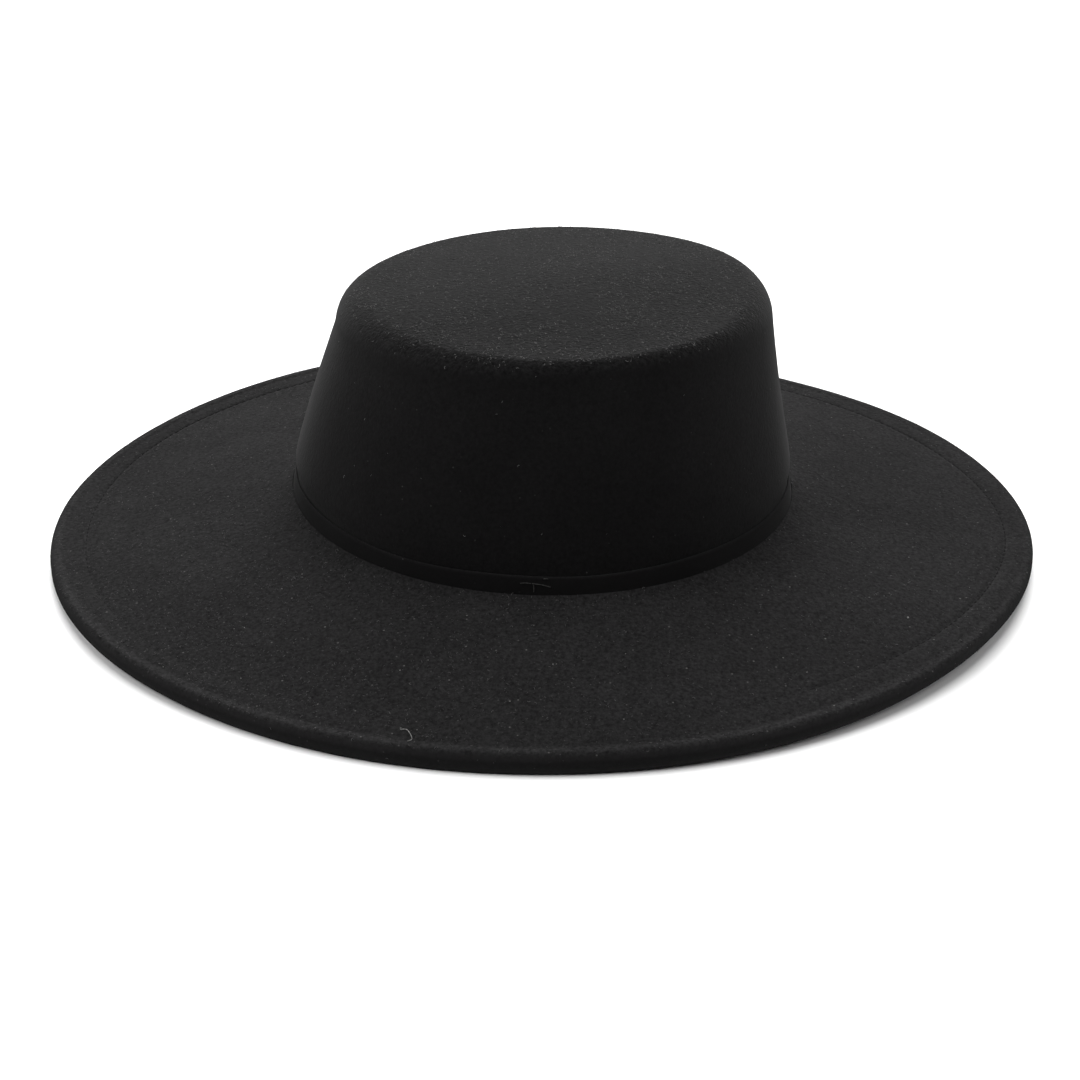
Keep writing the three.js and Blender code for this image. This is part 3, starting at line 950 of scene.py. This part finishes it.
class HAT_OT_lint(HatOperator, bpy.types.Operator):
    """Lay the tack thread, the curled lint and the pale flecks on the felt"""
    bl_idname = "hat.add_lint"
    bl_label = "Thread and lint"

    def execute(self, context):
        lint = context.scene.hat_lint
        strip_front, brim_top = surface_of("crown_band_felt"), surface_of("brim_felt")
        strokes = []
        for number, stroke in enumerate(TACK_STROKES):
            route = []
            for across, height in (stroke["start"], stroke["bend"], stroke["end"]):
                start = Vector((across * MM, -ABOVE, height * MM))
                spot, normal, _, _ = strip_front.ray_cast(start, Vector((0, 1, 0)))
                route.append(spot + normal * lint.thread / 2)
            strokes.append(spin_thread(f"tack_thread_{number}", route, lint.thread))
        drop_selection()
        for stroke in strokes:
            stroke.select_set(True)
        context.view_layer.objects.active = strokes[0]
        bpy.ops.object.join()
        strokes[0].name = strokes[0].data.name = "tack_thread"
        finish_piece(strokes[0], thread_material("tack_thread", lint.thread_colour, 0.3), "band_felt")

        def on_brim(across, along, lift):
            spot, normal, _, _ = brim_top.ray_cast(Vector((across * MM, along * MM, ABOVE)), DOWN)
            return spot + normal * lift, normal

        pale = thread_material("pale_lint", lint.lint_colour, 0.4)
        route = [on_brim(across, along, lint.curl * 0.6)[0] for across, along in LINT_ROUTE]
        finish_piece(spin_thread("curled_lint", route, lint.curl), pale, "brim_felt")
        drop_selection()
        bpy.ops.mesh.primitive_ico_sphere_add(subdivisions=1, radius=0.5 * MM)
        fleck = context.object
        fleck.name = fleck.data.name = "pale_flecks"
        places = []
        for row in FLECKS:
            spot, normal = on_brim(row["across"], row["along"], 0.25 * row["size"] * MM)
            places.append(surface_place(spot, normal, row["across"], row["size"]))
        finish_piece(place_copies(fleck, places), pale, "brim_felt")
        return {"FINISHED"}


# The soft lights, each named as its strength in the settings. Azimuth 0 is behind the hat and 90 at its right, and
# elevation is the height over the table, in degrees.
SUNS = (
    {"name": "high_light", "elevation": 70, "azimuth": 12},
    {"name": "low_light", "elevation": 12, "azimuth": 0},
    {"name": "left_light", "elevation": 40, "azimuth": -100},
    {"name": "right_light", "elevation": 40, "azimuth": 102},
)


def add_sun(name, strength, angle, elevation, azimuth):
    """A soft light from far away."""
    drop_selection()
    bpy.ops.object.light_add(type="SUN")
    light = bpy.context.object
    light.name = light.data.name = name
    light.data.energy = strength
    light.data.angle = angle
    turn = math.radians(azimuth)
    up = math.radians(elevation)
    towards = Vector((math.sin(turn) * math.cos(up), math.cos(turn) * math.cos(up), math.sin(up)))
    light.rotation_euler = towards.to_track_quat("Z", "Y").to_euler()
    light.location = towards * 2
    return light


class HAT_OT_stage(HatOperator, bpy.types.Operator):
    """Set the floor, the soft lights, the white surroundings and the camera"""
    bl_idname = "hat.set_stage"
    bl_label = "Stage"

    def execute(self, context):
        stage = context.scene.hat_stage
        drop_selection()
        bpy.ops.mesh.primitive_plane_add(size=stage.floor)
        floor = context.object
        floor.name = floor.data.name = "floor"
        paper = NodeSheet("white_paper")
        paper.shader.inputs["Base Color"].default_value = (stage.paper, stage.paper, stage.paper, 1)
        paper.shader.inputs["Roughness"].default_value = 0.9
        paper.shader.inputs["Specular IOR Level"].default_value = 0.0
        floor.data.materials.append(paper.material)
        for sun in SUNS:
            add_sun(sun["name"], getattr(stage, sun["name"]), stage.softness, sun["elevation"], sun["azimuth"])
        world = bpy.data.worlds.new("surroundings")
        context.scene.world = world
        world.use_nodes = True
        nodes, links = world.node_tree.nodes, world.node_tree.links
        seen = nodes["Background"]
        seen.inputs["Color"].default_value = (1, 1, 1, 1)
        cast = nodes.new("ShaderNodeBackground")
        cast.inputs["Strength"].default_value = stage.fill_light
        switch = nodes.new("ShaderNodeMixShader")
        links.new(nodes.new("ShaderNodeLightPath").outputs["Is Camera Ray"], switch.inputs["Fac"])
        links.new(cast.outputs["Background"], switch.inputs[1])
        links.new(seen.outputs["Background"], switch.inputs[2])
        links.new(switch.outputs["Shader"], nodes["World Output"].inputs["Surface"])
        drop_selection()
        bpy.ops.object.camera_add()
        camera = context.object
        camera.name = camera.data.name = "front_camera"
        camera.data.lens = stage.lens
        camera.data.clip_end = 20
        up = stage.elevation
        spot = Vector(stage.aim) + stage.distance * Vector((0, -math.cos(up), math.sin(up)))
        look = Matrix.Rotation(math.pi / 2 - up, 4, "X") @ Matrix.Rotation(stage.roll, 4, "Z")
        camera.matrix_world = Matrix.Translation(spot) @ look
        context.scene.camera = camera
        context.scene.view_settings.view_transform = "Standard"
        return {"FINISHED"}


OPERATORS = (HAT_OT_crown, HAT_OT_strip, HAT_OT_brim, HAT_OT_stitches, HAT_OT_nap, HAT_OT_lint, HAT_OT_stage)


class HAT_PT_panel(bpy.types.Panel):
    """Lists the buttons that add the hat's pieces and set its stage"""
    bl_label = "Felt hat"
    bl_idname = "HAT_PT_panel"
    bl_space_type = "VIEW_3D"
    bl_region_type = "UI"
    bl_category = "Felt hat"

    def draw(self, context):
        for operator in OPERATORS:
            self.layout.operator(operator.bl_idname)


SETTINGS = {"hat_crown": CrownSettings, "hat_strip": StripSettings, "hat_brim": BrimSettings,
            "hat_felt": FeltSettings, "hat_nap": NapSettings, "hat_stitches": StitchSettings,
            "hat_lint": LintSettings, "hat_stage": StageSettings}


def register():
    for group in SETTINGS.values():
        bpy.utils.register_class(group)
    for name, group in SETTINGS.items():
        setattr(bpy.types.Scene, name, PointerProperty(type=group))
    for one in (*OPERATORS, HAT_PT_panel):
        bpy.utils.register_class(one)


def unregister():
    for one in (HAT_PT_panel, *reversed(OPERATORS)):
        bpy.utils.unregister_class(one)
    for name, group in SETTINGS.items():
        delattr(bpy.types.Scene, name)
        bpy.utils.unregister_class(group)


def main():
    register()
    bpy.ops.hat.set_stage()
    bpy.ops.hat.add_crown()
    bpy.ops.hat.add_strip()
    bpy.ops.hat.add_brim()
    bpy.ops.hat.add_stitches()
    bpy.ops.hat.add_nap()
    bpy.ops.hat.add_lint()


if __name__ == "__main__":
    main()
